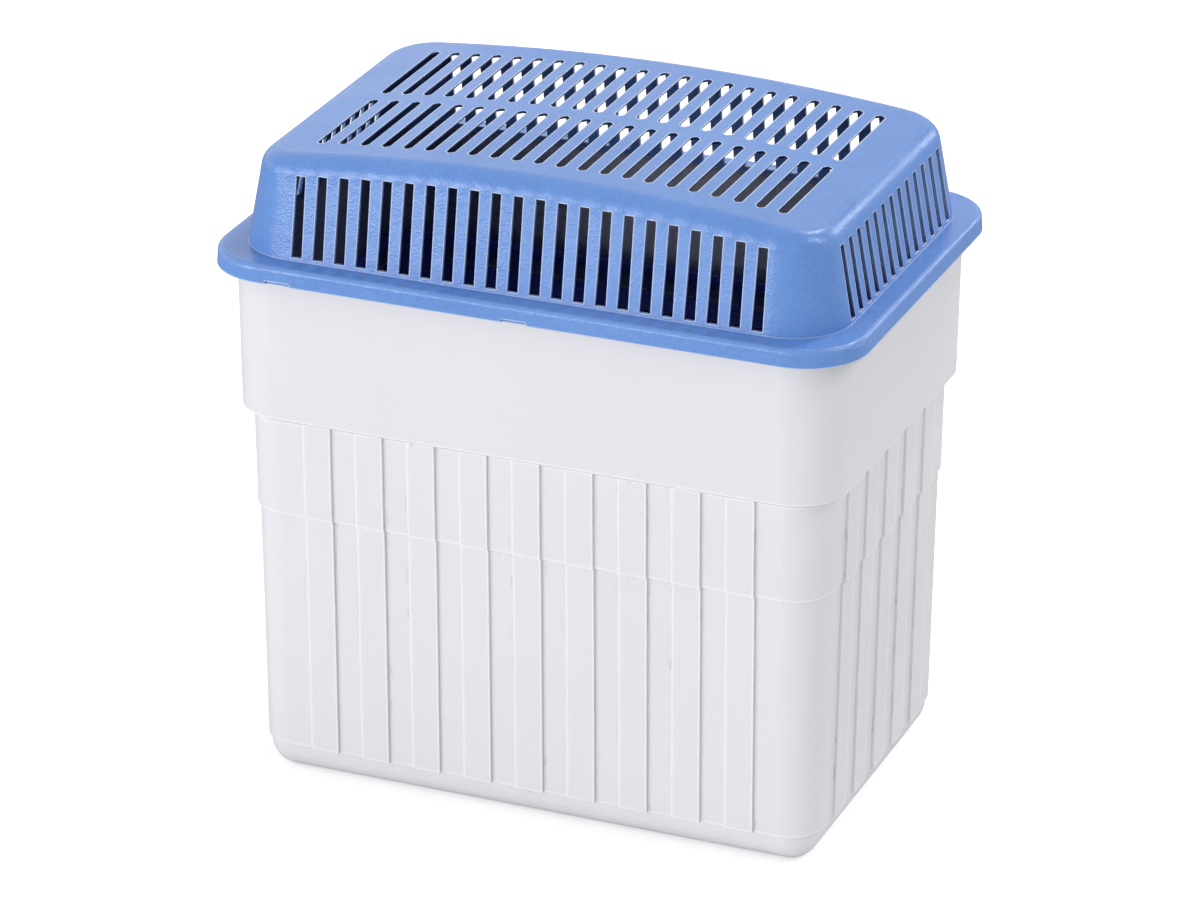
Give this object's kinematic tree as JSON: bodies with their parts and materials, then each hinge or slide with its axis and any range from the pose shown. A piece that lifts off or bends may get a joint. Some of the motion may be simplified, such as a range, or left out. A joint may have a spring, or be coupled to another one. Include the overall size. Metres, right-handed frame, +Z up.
{
  "type": "granulate dehumidifier",
  "caption": "Passive room dehumidifier: a ribbed, tapered collecting tank under a slotted domed hood, with a sieve tray and a bag of drying granulate inside.",
  "frame": {"origin": "middle of the tank's foot, on the surface that it stands on", "axes": "+Z up; +X along the long side, to the right as seen from the front; the front faces -Y"},
  "size_m": [0.237, 0.1592, 0.2401],
  "materials": {
    "tank_plastic": "satin",
    "tray_plastic": "satin",
    "bag_fleece": "matte",
    "hood_plastic": "satin"
  },
  "bodies": {
    "tank": {"collecting_tank": "tank_plastic"},
    "tray": {"sieve_tray": "tray_plastic"},
    "bag": {"granulate_bag": "bag_fleece"},
    "hood": {"slotted_hood": "hood_plastic"}
  },
  "joints": [
    {"name": "tray_lift", "type": "slide", "parent": "tank", "child": "tray", "axis": [0, 0, 1], "range_m": [0, 0.1]},
    {"name": "bag_lift", "type": "slide", "parent": "tray", "child": "bag", "axis": [0, 0, 1], "range_m": [0, 0.05]},
    {"name": "hood_lift", "type": "slide", "parent": "tray", "child": "hood", "axis": [0, 0, 1], "range_m": [0, 0.12]}
  ]
}
